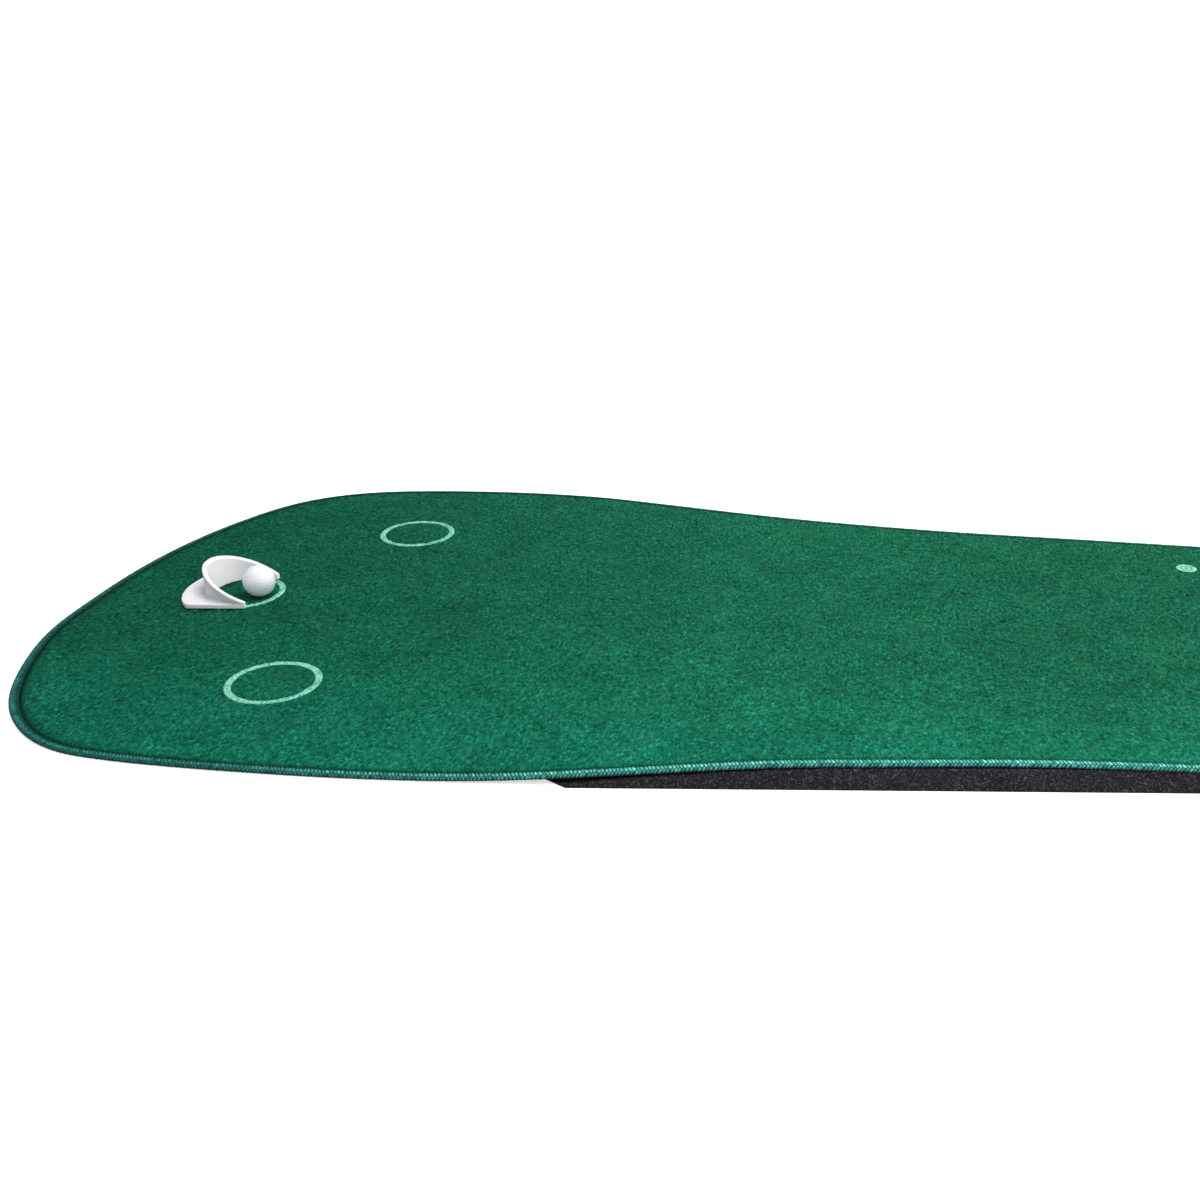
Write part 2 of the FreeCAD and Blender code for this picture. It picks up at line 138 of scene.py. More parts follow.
edge_lo, edge_hi = box_mm("edge_binding")
dense = closed_spline(EDGE, 24000)
low, high = dense.min(0), dense.max(0)
dense = (dense - (low + high) / 2) * (edge_hi - edge_lo)[:2] / (high - low) + ((edge_hi + edge_lo) / 2)[:2]
seg = np.linalg.norm(np.roll(dense, -1, 0) - dense, axis=1)
run = np.r_[0, np.cumsum(seg)]
PERIMETER = run[-1]


def edge_at(count, offset=0.0):
    """count points evenly round the edge, with the inward normal at each."""
    at = (np.arange(count) + offset) * PERIMETER / count
    loop = np.vstack([dense, dense[:1]])
    p = np.c_[np.interp(at, run, loop[:, 0]), np.interp(at, run, loop[:, 1])]
    ahead = np.c_[np.interp((at + 4) % PERIMETER, run, loop[:, 0]), np.interp((at + 4) % PERIMETER, run, loop[:, 1])]
    behind = np.c_[np.interp((at - 4) % PERIMETER, run, loop[:, 0]), np.interp((at - 4) % PERIMETER, run, loop[:, 1])]
    t = ahead - behind
    t /= np.linalg.norm(t, axis=1)[:, None]
    return p, np.c_[-t[:, 1], t[:, 0]], at


edge_p, edge_n, _ = edge_at(6400)
edge_tree = KDTree(len(edge_p))
for i, p in enumerate(edge_p):
    edge_tree.insert((p[0], p[1], 0), i)
edge_tree.balance()


def inset_of(points):
    """How far inside the edge each point lies, negative outside."""
    out = np.empty(len(points))
    for i, p in enumerate(points):
        at, k, _ = edge_tree.find((p[0], p[1], 0))
        out[i] = (p[0] - edge_p[k, 0]) * edge_n[k, 0] + (p[1] - edge_p[k, 1]) * edge_n[k, 1]
    return out


FOAM_AT = np.array([-631.0, -443.0])
TURN = math.radians(6.37)
FOAM_DIR = np.array([math.cos(TURN), math.sin(TURN)])
FOAM_IN = np.array([-math.sin(TURN), math.cos(TURN)])
FOAM_LONG, FOAM_DEEP, FOAM_HIGH = 914.0, 203.0, 25.4


def wide(points):
    """How much wider the binding lies, flattened where it turns round the left end."""
    return 3.2 * smooth01((-1190 - np.asarray(points)[:, 0]) / 130)


def lift(points):
    """Height of the mat's underside over the floor."""
    rel = np.asarray(points)[:, :2] - FOAM_AT
    along, deep = rel @ FOAM_DIR, rel @ FOAM_IN
    left = smooth01((along + 170) / 440)
    right = smooth01((FOAM_LONG - along + 170) / 440)
    fall = 1.015 - deep / FOAM_DEEP
    fall = np.where(deep < 0, fall - (deep / 90.0) ** 2, fall)
    fall = np.where(fall < -0.3, 0.0, np.where(fall < 0.3, (fall + 0.3) ** 2 / 1.2, fall))
    return np.maximum(0, 25.8 * left * right * fall)


def triangulate(points, loop):
    """Triangles inside the closed loop formed by the first loop points."""
    edges = [(i, (i + 1) % loop) for i in range(loop)]
    out, _, faces, made_from, _, _ = delaunay_2d_cdt([Vector(p) for p in (np.asarray(points) * MM).tolist()],
                                                     edges, [], 1, 1e-8)
    out = np.array([tuple(v) for v in out]) / MM
    faces = np.array([f for f in faces if len(f) == 3], int)
    a, b, c = out[faces[:, 0]], out[faces[:, 1]], out[faces[:, 2]]
    turn = (b[:, 0] - a[:, 0]) * (c[:, 1] - a[:, 1]) - (b[:, 1] - a[:, 1]) * (c[:, 0] - a[:, 0])
    faces[turn < 0] = faces[turn < 0][:, ::-1]
    where = np.full(len(points), -1)
    for j, origin in enumerate(made_from):
        for k in origin:
            where[k] = j
    return out, faces, where[:loop]


def close_slab(top, top_faces, top_loop, bottom, bottom_faces, bottom_loop):
    """One closed mesh from a top sheet and a bottom sheet that share a loop."""
    n = len(top)
    verts = np.vstack([top, bottom])
    faces = [tuple(f) for f in top_faces] + [tuple(f[::-1] + n) for f in bottom_faces]
    m = len(top_loop)
    for i in range(m):
        j = (i + 1) % m
        faces.append((bottom_loop[i] + n, bottom_loop[j] + n, top_loop[j], top_loop[i]))
    return verts, faces


def hex_grid(step, jitter, seed, margin):
    gen = np.random.default_rng(seed)
    rows = int((edge_hi[1] - edge_lo[1]) / (step * 0.866)) + 2
    cols = int((edge_hi[0] - edge_lo[0]) / step) + 2
    j, i = np.mgrid[0:rows, 0:cols]
    x = edge_lo[0] + (i + 0.5 * (j % 2)) * step
    y = edge_lo[1] + j * step * 0.866
    p = np.c_[x.ravel(), y.ravel()] + gen.uniform(-jitter, jitter, (rows * cols, 2)) * step
    return p[inset_of(p) > margin]


# ------------------------------------------------------------------ materials
class Nodes:
    """A small way to write a node material."""

    def __init__(self, name):
        self.mat = bpy.data.materials.new(name)
        self.mat.use_nodes = True
        self.tree = self.mat.node_tree
        self.tree.nodes.clear()
        self.out = self.tree.nodes.new("ShaderNodeOutputMaterial")
        self.bsdf = self.tree.nodes.new("ShaderNodeBsdfPrincipled")
        self.link(self.bsdf.outputs[0], self.out.inputs[0])
        self.coord = self.tree.nodes.new("ShaderNodeTexCoord").outputs["Object"]

    def link(self, a, b):
        self.tree.links.new(a, b)

    def put(self, socket, value):
        if hasattr(value, "node"):
            self.link(value, socket)
        elif isinstance(value, (tuple, list)) and len(value) == 3 and socket.type == "RGBA":
            socket.default_value = (*value, 1)
        else:
            socket.default_value = value

    def set(self, **values):
        for key, value in values.items():
            self.put(self.bsdf.inputs[key.replace("_", " ")], value)
        return self

    def noise(self, scale, detail=2.0, rough=0.5, vector=None, distortion=0.0, color=False):
        n = self.tree.nodes.new("ShaderNodeTexNoise")
        n.inputs["Scale"].default_value = scale
        n.inputs["Detail"].default_value = detail
        n.inputs["Roughness"].default_value = rough
        n.inputs["Distortion"].default_value = distortion
        self.link(vector or self.coord, n.inputs["Vector"])
        return n.outputs["Color" if color else "Fac"]

    def voronoi(self, scale, output="Distance", vector=None, feature="F1", random=1.0):
        n = self.tree.nodes.new("ShaderNodeTexVoronoi")
        n.feature = feature
        n.inputs["Scale"].default_value = scale
        n.inputs["Randomness"].default_value = random
        self.link(vector or self.coord, n.inputs["Vector"])
        return n.outputs[output]

    def ramp(self, value, stops, mode="LINEAR"):
        n = self.tree.nodes.new("ShaderNodeValToRGB")
        n.color_ramp.interpolation = mode
        e = n.color_ramp.elements
        while len(e) < len(stops):
            e.new(0.5)
        for item, (pos, col) in zip(e, stops):
            item.position = pos
            item.color = (*col, 1) if isinstance(col, (tuple, list)) else (col, col, col, 1)
        self.link(value, n.inputs[0])
        return n.outputs[0]

    def mix(self, fac, a, b, mode="MIX"):
        n = self.tree.nodes.new("ShaderNodeMix")
        n.data_type = "RGBA"
        n.blend_type = mode
        self.put(n.inputs[0], fac)
        self.put(n.inputs[6], a)
        self.put(n.inputs[7], b)
        return n.outputs[2]

    def math(self, op, a, b=0.0, clamp=False):
        n = self.tree.nodes.new("ShaderNodeMath")
        n.operation = op
        n.use_clamp = clamp
        self.put(n.inputs[0], a)
        self.put(n.inputs[1], b)
        return n.outputs[0]

    def remap(self, value, a, b, c=0.0, d=1.0):
        n = self.tree.nodes.new("ShaderNodeMapRange")
        n.clamp = True
        self.link(value, n.inputs[0])
        for k, v in zip((1, 2, 3, 4), (a, b, c, d)):
            n.inputs[k].default_value = v
        return n.outputs[0]

    def attribute(self, name):
        n = self.tree.nodes.new("ShaderNodeAttribute")
        n.attribute_name = name
        return n.outputs["Fac"]

    def stretch(self, scale):
        n = self.tree.nodes.new("ShaderNodeMapping")
        n.inputs["Scale"].default_value = scale
        self.link(self.coord, n.inputs["Vector"])
        return n.outputs[0]

    def axis(self, which):
        n = self.tree.nodes.new("ShaderNodeSeparateXYZ")
        self.link(self.coord, n.inputs[0])
        return n.outputs[which]

    def bump(self, height, strength, distance, normal=None):
        n = self.tree.nodes.new("ShaderNodeBump")
        n.inputs["Strength"].default_value = strength
        n.inputs["Distance"].default_value = distance
        self.link(height, n.inputs["Height"])
        if normal is not None:
            self.link(normal, n.inputs["Normal"])
        self.link(n.outputs[0], self.bsdf.inputs["Normal"])
        return n.outputs[0]


def give(obj, mat):
    obj.data.materials.clear()
    obj.data.materials.append(mat)


def turf_material():
    m = Nodes("turf_green")
    pile = m.attribute("pile")          # 0 in the hollows, 1 at the tips
    seam = m.attribute("seam")          # 1 in the groove beside the binding
    shade = m.attribute("shade")        # painted shade, 1 at the left rim
    nap = m.stretch((1.0, 0.43, 1.0))   # tufts lie along the width
    clump = m.noise(285, 3.0, 0.62, vector=nap)
    fine = m.noise(650, 2.0, 0.65, vector=nap)
    speck = m.voronoi(330, "Distance", vector=nap)
    pit = m.voronoi(205, "Distance", vector=nap)
    patch = m.noise(9, 3.0, 0.55)
    worn = m.noise(34, 2.0, 0.5)
    body = m.ramp(clump, [(0.30, (0.0016, 0.050, 0.025)), (0.45, (0.0036, 0.086, 0.044)),
                          (0.57, (0.0070, 0.119, 0.065)), (0.70, (0.0190, 0.180, 0.110))])
    colour = m.mix(0.9, body, m.ramp(fine, [(0.32, (0.42, 0.60, 0.58)), (0.50, (0.90, 0.98, 0.97)),
                                            (0.68, (2.1, 1.36, 1.48))]), "MULTIPLY")
    # painted shade in the gaps between tufts
    colour = m.mix(m.remap(pit, 0.06, 0.26, 0.72, 0.0), colour, (0.0010, 0.032, 0.018))
    # lit ends of single fibres
    tip = m.remap(speck, 0.02, 0.20, 0.55, 0.0)
    colour = m.mix(m.math("MULTIPLY", tip, m.remap(clump, 0.45, 0.62)), colour, (0.115, 0.320, 0.240))
    # broad tone: slightly greyed here, richer there
    colour = m.mix(m.remap(worn, 0.50, 0.68, 0.0, 0.35), colour, (0.013, 0.094, 0.050))
    tone = m.ramp(patch, [(0.35, (0.88, 0.90, 0.89)), (0.65, (1.08, 1.08, 1.07))])
    colour = m.mix(1.0, colour, tone, "MULTIPLY")
    # painted light and shade set by region: painted light along the front, a painted sheen at the back, painted shade
    # at the left end and towards the right
    front_painted_light = m.ramp(m.remap(m.axis("Y"), -0.43, -0.10), [(0.0, (0.84, 1.25, 1.29)), (1.0, (1.0, 1.0, 1.0))])
    # painted shade: darker towards the left end
    left_painted_shade = m.ramp(m.remap(m.axis("X"), -1.15, -0.35), [(0.0, (0.66, 0.86, 0.87)), (0.8, (1.04, 1.04, 1.02)), (1.0, (1.06, 1.06, 1.04))])
    left_painted_shade = m.mix(m.remap(m.axis("Y"), -0.42, -0.20, 1.0, 0.0), left_painted_shade, (0.90, 1.0, 1.0))
    # painted sheen: lighter and warmer towards the back
    behind = m.ramp(m.remap(m.axis("Y"), 0.15, 0.42), [(0.0, (1.0, 1.0, 1.0)), (1.0, (1.25, 1.12, 1.05))])
    # painted shade: darker towards the right
    right = m.mix(m.remap(m.axis("Y"), -0.42, -0.24, 1.0, 0.0),
                  m.ramp(m.remap(m.axis("X"), -0.52, -0.08), [(0.0, (1.0, 1.0, 1.0)), (1.0, (0.86, 0.85, 0.82))]),
                  (0.94, 1.0, 1.03))
    colour = m.mix(1.0, colour, right, "MULTIPLY")
    for tint in (front_painted_light, left_painted_shade, behind):
        colour = m.mix(1.0, colour, tint, "MULTIPLY")
    # painted shade in the hollows of the pile and painted light on its tips
    height = m.ramp(pile, [(0.0, (0.42, 0.45, 0.45)), (0.5, (1.0, 1.0, 1.0)), (1.0, (1.60, 1.45, 1.48))])
    colour = m.mix(1.0, colour, height, "MULTIPLY")
    colour = m.mix(m.math("MULTIPLY", shade, 0.62), colour, (0.0022, 0.046, 0.022))
    # painted shade in the groove beside the binding
    colour = m.mix(seam, colour, (0.0008, 0.024, 0.015))
    m.set(Base_Color=colour, Roughness=m.remap(fine, 0.3, 0.7, 0.95, 0.7))
    m.bsdf.inputs["Specular IOR Level"].default_value = 0.04
    both = m.math("ADD", m.math("MULTIPLY", clump, 0.8), m.math("MULTIPLY", fine, 0.6))
    m.bump(both, 0.8, 0.0015)
    return m.mat


def binding_material():
    m = Nodes("binding_teal")
    crest = m.attribute("crest")
    lit = m.attribute("lit")            # painted shade: 1 on the crown, 0 underneath
    yarn = m.noise(900, 2.0, 0.6)
    patch = m.noise(30, 2.0, 0.5)
    stray = m.noise(210, 2.0, 0.6)
    # painted shade between the yarns and painted highlights on their crests
    colour = m.ramp(crest, [(0.0, (0.0030, 0.052, 0.042)), (0.35, (0.0120, 0.150, 0.120)),
                            (0.62, (0.0500, 0.340, 0.275)), (0.92, (0.230, 0.680, 0.580))])
    # painted shade: darker, with dimmer crests, towards the left end
    binding_left_shade = m.ramp(crest, [(0.0, (0.0030, 0.070, 0.056)), (0.5, (0.0080, 0.112, 0.090)), (0.92, (0.024, 0.180, 0.150))])
    colour = m.mix(m.remap(m.axis("X"), -0.98, -0.58, 0.88, 0.0), colour, binding_left_shade)
    colour = m.mix(0.8, colour, m.ramp(yarn, [(0.3, 0.60), (0.7, 1.32)]), "MULTIPLY")
    colour = m.mix(0.9, colour, m.ramp(stray, [(0.34, 0.62), (0.66, 1.28)]), "MULTIPLY")
    colour = m.mix(0.8, colour, m.ramp(patch, [(0.35, 0.86), (0.65, 1.1)]), "MULTIPLY")
    colour = m.mix(1.0, colour, m.ramp(lit, [(0.0, 0.03), (0.5, 0.42), (1.0, 1.0)]), "MULTIPLY")
    m.set(Base_Color=colour, Roughness=m.remap(yarn, 0.3, 0.7, 0.6, 0.8))
    m.bsdf.inputs["Specular IOR Level"].default_value = 0.08
    m.bump(yarn, 0.5, 0.0004)
    return m.mat


def thread_material():
    m = Nodes("thread_teal")
    ply = m.noise(1500, 2.0, 0.6, vector=m.stretch((1.0, 1.0, 2.0)))
    colour = m.ramp(ply, [(0.3, (0.002, 0.045, 0.036)), (0.7, (0.016, 0.130, 0.102))])
    m.set(Base_Color=colour, Roughness=m.remap(ply, 0.3, 0.7, 0.5, 0.7))
    m.bsdf.inputs["Specular IOR Level"].default_value = 0.08
    m.bump(ply, 0.5, 0.0002)
    return m.mat


def ink_material():
    """Mint print on the pile, worn through to green in places."""
    m = Nodes("mint_ink")
    nap = m.stretch((1.0, 0.5, 1.0))
    fine = m.noise(420, 3.0, 0.7, vector=nap)
    wear = m.noise(70, 3.0, 0.6)
    pile = m.attribute("pile")
    mint = m.ramp(fine, [(0.30, (0.105, 0.340, 0.245)), (0.5, (0.225, 0.575, 0.440)), (0.70, (0.330, 0.760, 0.600))])
    show = m.remap(m.math("ADD", m.math("MULTIPLY", fine, 0.6), m.math("MULTIPLY", wear, 0.6)), 0.50, 0.60, 0.62, 0.0)
    colour = m.mix(show, mint, (0.020, 0.170, 0.105))
    dark = m.attribute("motif")
    colour = m.mix(dark, colour, (0.016, 0.160, 0.100))
    # painted shade in the hollows of the pile and painted light on its tips
    colour = m.mix(1.0, colour, m.ramp(pile, [(0.0, 0.62), (0.5, 0.97), (1.0, 1.12)]), "MULTIPLY")
    m.set(Base_Color=colour, Roughness=m.remap(fine, 0.3, 0.7, 0.9, 0.7))
    m.bsdf.inputs["Specular IOR Level"].default_value = 0.1
    m.bump(fine, 0.8, 0.0015)
    return m.mat


def stop_material():
    m = Nodes("stop_white")
    grain = m.noise(1300, 2.0, 0.55)
    cloud = m.noise(35, 3.0, 0.5)
    scuff = m.noise(90, 4.0, 0.7, vector=m.stretch((1.0, 4.0, 1.0)))
    colour = m.ramp(cloud, [(0.3, (0.880, 0.868, 0.868)), (0.7, (0.930, 0.920, 0.920))])
    colour = m.mix(m.remap(scuff, 0.66, 0.80, 0.0, 0.35), colour, (0.66, 0.65, 0.645))
    # painted shade where the wall meets the tail plate
    colour = m.mix(m.math("MULTIPLY", m.attribute("hollow"), m.remap(cloud, 0.3, 0.7, 0.50, 0.62)), colour, (0.34, 0.335, 0.35))
    m.set(Base_Color=colour, Roughness=m.remap(m.math("ADD", m.math("MULTIPLY", grain, 0.4), m.math("MULTIPLY", scuff, 0.6)), 0.35, 0.65, 0.36, 0.54))
    m.bsdf.inputs["Subsurface Weight"].default_value = 0.08
    m.bsdf.inputs["Subsurface Radius"].default_value = (0.003, 0.003, 0.003)
    m.bump(grain, 0.16, 0.0003)
    return m.mat


def ball_material():
    m = Nodes("ball_white")
    grain = m.noise(2200, 2.0, 0.5)
    cloud = m.noise(120, 3.0, 0.55)
    dimple = m.attribute("dimple")
    # painted cool tint: the white is tinted lavender throughout, standing in for the cool shade on its lower side
    colour = m.ramp(cloud, [(0.3, (0.84, 0.83, 0.88)), (0.7, (0.89, 0.885, 0.93))])
    # painted shade in the dimples
    colour = m.mix(m.math("MULTIPLY", dimple, 0.45), colour, (0.66, 0.67, 0.76))
    m.set(Base_Color=colour, Roughness=m.remap(cloud, 0.3, 0.7, 0.24, 0.36))
    m.bsdf.inputs["Coat Weight"].default_value = 0.2
    m.bsdf.inputs["Coat Roughness"].default_value = 0.15
    m.bump(grain, 0.05, 0.0001)
    return m.mat


def core_material():
    m = Nodes("ball_core_rubber")
    speck = m.noise(700, 3.0, 0.6)
    colour = m.ramp(speck, [(0.35, (0.055, 0.085, 0.19)), (0.65, (0.12, 0.17, 0.32))])
    m.set(Base_Color=colour, Roughness=m.remap(speck, 0.3, 0.7, 0.5, 0.75))
    m.bump(speck, 0.3, 0.0004)
    return m.mat


def foam_material(name, dark, light):
    m = Nodes(name)
    cell = m.voronoi(430, "Distance")
    fine = m.noise(620, 3.0, 0.72)
    fleck = m.noise(430, 2.0, 0.6)
    cloud = m.noise(28, 2.0, 0.5)
    colour = m.ramp(fine, [(0.32, dark), (0.52, tuple(0.62 * a + 0.38 * b for a, b in zip(dark, light))), (0.70, light)])
    colour = m.mix(m.remap(fleck, 0.53, 0.66, 0.0, 0.9), colour, tuple(2.5 * b for b in light))
    colour = m.mix(0.8, colour, m.ramp(cell, [(0.0, 0.40), (0.35, 1.0), (0.8, 1.25)]), "MULTIPLY")
    colour = m.mix(1.0, colour, m.ramp(cloud, [(0.35, 0.86), (0.65, 1.12)]), "MULTIPLY")
    m.set(Base_Color=colour, Roughness=m.remap(fine, 0.3, 0.7, 0.95, 0.82))
    m.bsdf.inputs["Specular IOR Level"].default_value = 0.12
    m.bump(m.math("ADD", cell, m.math("MULTIPLY", fine, 0.5)), 0.7, 0.0012)
    return m.mat


def weave_material():
    m = Nodes("backing_cloth")
    warp = m.tree.nodes.new("ShaderNodeTexWave")
    warp.wave_type = "BANDS"
    warp.bands_direction = "X"
    warp.inputs["Scale"].default_value = 160
    weft = m.tree.nodes.new("ShaderNodeTexWave")
    weft.wave_type = "BANDS"
    weft.bands_direction = "Y"
    weft.inputs["Scale"].default_value = 160
    m.link(m.coord, warp.inputs["Vector"])
    m.link(m.coord, weft.inputs["Vector"])
    cloth = m.math("MULTIPLY", warp.outputs["Fac"], weft.outputs["Fac"])
    fibre = m.noise(900, 2.0, 0.6)
    colour = m.ramp(cloth, [(0.0, (0.018, 0.022, 0.02)), (0.5, (0.05, 0.06, 0.055)), (1.0, (0.10, 0.115, 0.105))])
    colour = m.mix(0.6, colour, m.ramp(fibre, [(0.3, 0.7), (0.7, 1.2)]), "MULTIPLY")
    m.set(Base_Color=colour, Roughness=m.remap(fibre, 0.3, 0.7, 0.9, 0.75))
    m.bump(cloth, 0.6, 0.0006)
    return m.mat


TURF, BINDING, THREAD, INK = turf_material(), binding_material(), thread_material(), ink_material()
STOP, BALL, CORE, CLOTH = stop_material(), ball_material(), core_material(), weave_material()
WEDGE = foam_material("wedge_foam", (0.0044, 0.0042, 0.0052), (0.0290, 0.0277, 0.0338))
UNDERLAY = foam_material("backing_foam", (0.0060, 0.0065, 0.0070), (0.0280, 0.0290, 0.0300))

# ------------------------------------------------------------------ turf pile
RINGS = {name: (box_mm(name)[0] + box_mm(name)[1]) / 2 for name in
         ("target_ring_near", "target_ring_middle", "target_ring_far")}
MARKS = [(111.5, 241.0), (111.5, -13.0), (111.5, -267.0)]
RING_IN, RING_OUT, MARK_R = 47.25, 55.5, 14.0
gen = np.random.default_rng(20)
STEP = 3.2

rim_count = int(PERIMETER / STEP)
rim_p, rim_n, _ = edge_at(rim_count)
loops = [rim_p + rim_n * 5.2]
for k, inset in enumerate((7.2, 8.8, 10.6, 12.8)):
    p, n, _ = edge_at(rim_count, 0.5 * ((k + 1) % 2))
    loops.append(p + n * (inset + gen.uniform(-0.25, 0.25, (len(p), 1))))
field = hex_grid(STEP, 0.28, 3, 14.6)
extra = []
for centre in RINGS.values():
    for q, r in enumerate(np.linspace(RING_IN, RING_OUT, 5)):
        count = int(2 * math.pi * r / 2.0)
        a = (np.arange(count) + gen.uniform(0, 1)) * 2 * math.pi / count
        rr = r + gen.uniform(-0.45, 0.45, count) * (0.35 if q in (0, 4) else 1.0)
        extra.append(np.c_[centre[0] + rr * np.cos(a), centre[1] + rr * np.sin(a)])
    d = np.hypot(field[:, 0] - centre[0], field[:, 1] - centre[1])
    field = field[(d < RING_IN - 1.6) | (d > RING_OUT + 1.6)]
for cx, cy in MARKS:
    for r in np.linspace(0, MARK_R, 9):
        count = max(1, int(2 * math.pi * r / 1.75))
        a = (np.arange(count) + gen.uniform(0, 1)) * 2 * math.pi / count
        rr = r + (gen.uniform(-0.3, 0.3, count) if r > 0 else 0)
        extra.append(np.c_[cx + rr * np.cos(a), cy + rr * np.sin(a)])
    d = np.hypot(field[:, 0] - cx, field[:, 1] - cy)
    field = field[d > MARK_R + 1.4]
top, top_faces, top_loop = triangulate(np.vstack(loops + extra + [field]), rim_count)
inset = inset_of(top)
# print flattens the tufts a little
printed = np.full(len(top), 9e9)
for centre in RINGS.values():
    printed = np.minimum(printed, np.abs(np.hypot(top[:, 0] - centre[0], top[:, 1] - centre[1]) - 51.4) - 4.2)
for cx, cy in MARKS:
    printed = np.minimum(printed, np.hypot(top[:, 0] - cx, top[:, 1] - cy) - MARK_R)
flat = 1 - smooth01((printed + 0.5) / 3.0)
bumps = (0.30 * lattice_noise(top[:, 0], top[:, 1], 8.5, 11)
         + 0.18 * lattice_noise(top[:, 0], top[:, 1], 26, 12)
         + gen.uniform(-1.0, 1.0, len(top)) * (1 - 0.55 * flat))
inset = inset - wide(top)
seam = np.where(inset < 9.2, 1.0, np.exp(-((inset - 9.2) / 2.4) ** 2))
top_z = 7.02 + 0.35 * flat + np.minimum(0.92 * bumps, 1.02) * (1 - 0.5 * seam) - 2.2 * seam
top_z = np.minimum(top_z, 8.08) + lift(top)
pile = np.clip(0.5 + bumps / 2.7, 0, 1)
shade = np.exp(-(np.maximum(0, inset - 8) / 12.0) ** 2) * smooth01((-1020 - top[:, 0]) / 200)

low_rim_p, low_rim_n, _ = edge_at(rim_count)
sparse = hex_grid(46, 0.0, 4, 22)
bot, bot_faces, bot_loop = triangulate(np.vstack([low_rim_p + low_rim_n * 5.2, sparse]), rim_count)
verts, faces = close_slab(np.c_[top, top_z], top_faces, top_loop,
                          np.c_[bot, 3.85 + lift(bot)], bot_faces, bot_loop)
turf = make_mesh("turf_pile_tufts", verts, faces)
store(turf, "pile", np.r_[pile, np.full(len(bot), 0.3)])
store(turf, "seam", np.r_[np.clip(seam * 1.1, 0, 1), np.zeros(len(bot))])
store(turf, "shade", np.r_[shade, np.zeros(len(bot))])
give(turf, TURF)
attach(turf, "mat")
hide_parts("turf_pile")


def peel(name, keep, rise, sink):
    """A thin closed skin over some of the turf's triangles."""
    chosen = top_faces[keep]
    used, packed = np.unique(chosen, return_inverse=True)
    packed = packed.reshape(-1, 3)
    n = len(used)
    upper = np.c_[top[used], top_z[used] + rise]
    lower = np.c_[top[used], top_z[used] - sink]
    sides = {}
    for f in packed.tolist():
        for a, b in ((f[0], f[1]), (f[1], f[2]), (f[2], f[0])):
            if (b, a) in sides:
                del sides[(b, a)]
            else:
                sides[(a, b)] = True
    faces = [tuple(f) for f in packed] + [tuple(f[::-1] + n) for f in packed]
    faces += [(a + n, b + n, b, a) for a, b in sides]
    obj = make_mesh(name, np.vstack([upper, lower]), faces)
    store(obj, "pile", np.r_[pile[used], pile[used]])
    return obj, used


mid = top[top_faces].mean(1)
for name, centre in RINGS.items():
    d = np.hypot(mid[:, 0] - centre[0], mid[:, 1] - centre[1])
    ring, _ = peel(name.replace("target_ring", "printed_ring"), (d > RING_IN) & (d < RING_OUT), 0.14, 0.35)
    give(ring, INK)
    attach(ring, "mat")
    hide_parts(name)
near_mark = np.min([np.hypot(mid[:, 0] - cx, mid[:, 1] - cy) for cx, cy in MARKS], 0)
marks, used = peel("printed_marks", near_mark < MARK_R, 0.14, 0.35)
radius = np.min([np.hypot(top[used, 0] - cx, top[used, 1] - cy) for cx, cy in MARKS], 0)
motif = ((radius > 6.2) & (radius < 8.6)) | (radius < 2.2)
store(marks, "motif", np.r_[motif, motif] * 0.75)
give(marks, INK)
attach(marks, "mat")
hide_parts("start_marks")

# ------------------------------------------------------------------ foam underlay, seen from below
under_count = int(PERIMETER / 6.0)
p, n, _ = edge_at(under_count)
grid = hex_grid(6.5, 0.0, 5, 14.0)
low_v, low_f, low_loop = triangulate(np.vstack([p + n * 7.0, grid]), under_count)
a1 = (low_v[:, 0] + low_v[:, 1]) * 2 * math.pi / 19.5
a2 = (low_v[:, 0] - low_v[:, 1]) * 2 * math.pi / 19.5
waffle = np.clip(np.cos(a1) * 0.5 + np.cos(a2) * 0.5, -0.2, 1.0)
low_z = 0.08 + 0.75 * (waffle + 0.2) / 1.2 * smooth01((inset_of(low_v) - 9) / 10) + lift(low_v)
up_v, up_f, up_loop = triangulate(np.vstack([p + n * 7.0, sparse]), under_count)
verts, faces = close_slab(np.c_[up_v, 2.95 + lift(up_v)], up_f, up_loop, np.c_[low_v, low_z], low_f, low_loop)
under = make_mesh("foam_underlay", verts, faces)
give(under, UNDERLAY)
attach(under, "mat")
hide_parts("foam_backing")

# ------------------------------------------------------------------ overlocked binding
PITCH = 4.0
turns = int(round(PERIMETER / PITCH))
per = 5
count = turns * per
p, n, at = edge_at(count)
# round the bead: 0 faces outwards, 90 up, 180 inwards, 270 down
round_deg = np.array([-88, -62, -40, -22, -8, 6, 20, 33, 44, 54, 64, 74, 86, 100, 116, 134, 155, 182, 212, 242], float)
SIDE = len(round_deg)
phi = np.radians(round_deg)
c, s = np.cos(phi), np.sin(phi)
shape = (np.abs(c) ** 2.7 + np.abs(s) ** 2.7) ** (-1 / 2.7)
phase = at[:, None] / PITCH
